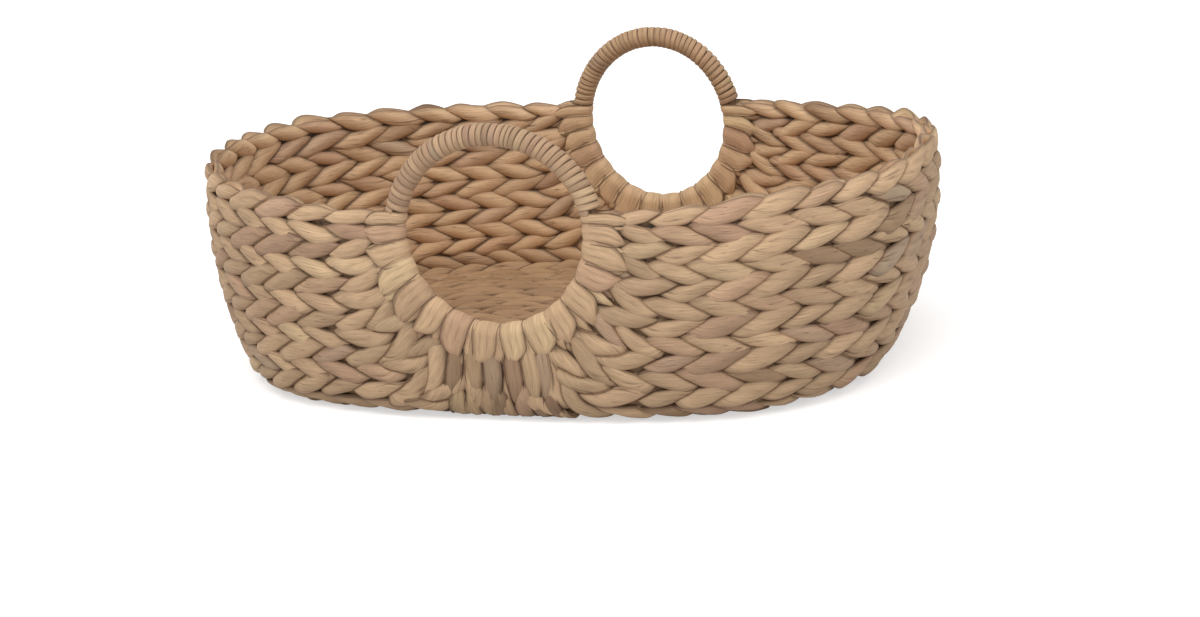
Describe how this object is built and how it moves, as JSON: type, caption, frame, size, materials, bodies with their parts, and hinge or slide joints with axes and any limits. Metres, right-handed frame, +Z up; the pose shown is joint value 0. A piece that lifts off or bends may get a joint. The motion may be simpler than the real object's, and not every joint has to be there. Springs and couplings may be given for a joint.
{
  "type": "woven basket",
  "caption": "Open oval basket twined from water hyacinth over a wire frame, with a round handle ring woven into each long wall.",
  "frame": {"origin": "on the ground under the middle of the basket", "axes": "+X along the long axis, -Y towards the front handle, +Z up"},
  "size_m": [0.5968, 0.4004, 0.2282],
  "materials": {
    "weave": "dried water hyacinth leaf, matt",
    "handle_leaf": "dried water hyacinth leaf, wound, matt",
    "hoop": "bundled fibre over wire, matt",
    "wire": "dull dark iron wire"
  },
  "bodies": {
    "root": {"right_course_1": "weave", "right_course_2": "weave", "right_course_3": "weave", "right_course_4": "weave", "right_course_5": "weave", "right_course_6": "weave", "right_course_7": "weave", "left_course_1": "weave", "left_course_2": "weave", "left_course_3": "weave", "left_course_4": "weave", "left_course_5": "weave", "left_course_6": "weave", "left_course_7": "weave", "base_course_1": "weave", "base_course_2": "weave", "base_course_3": "weave", "base_course_4": "weave", "base_course_5": "weave", "base_start": "weave", "front_handle_hoop": "hoop", "back_handle_hoop": "hoop", "front_handle_winding": "handle_leaf", "back_handle_winding": "handle_leaf", "wire_frame": "wire"}
  },
  "joints": []
}
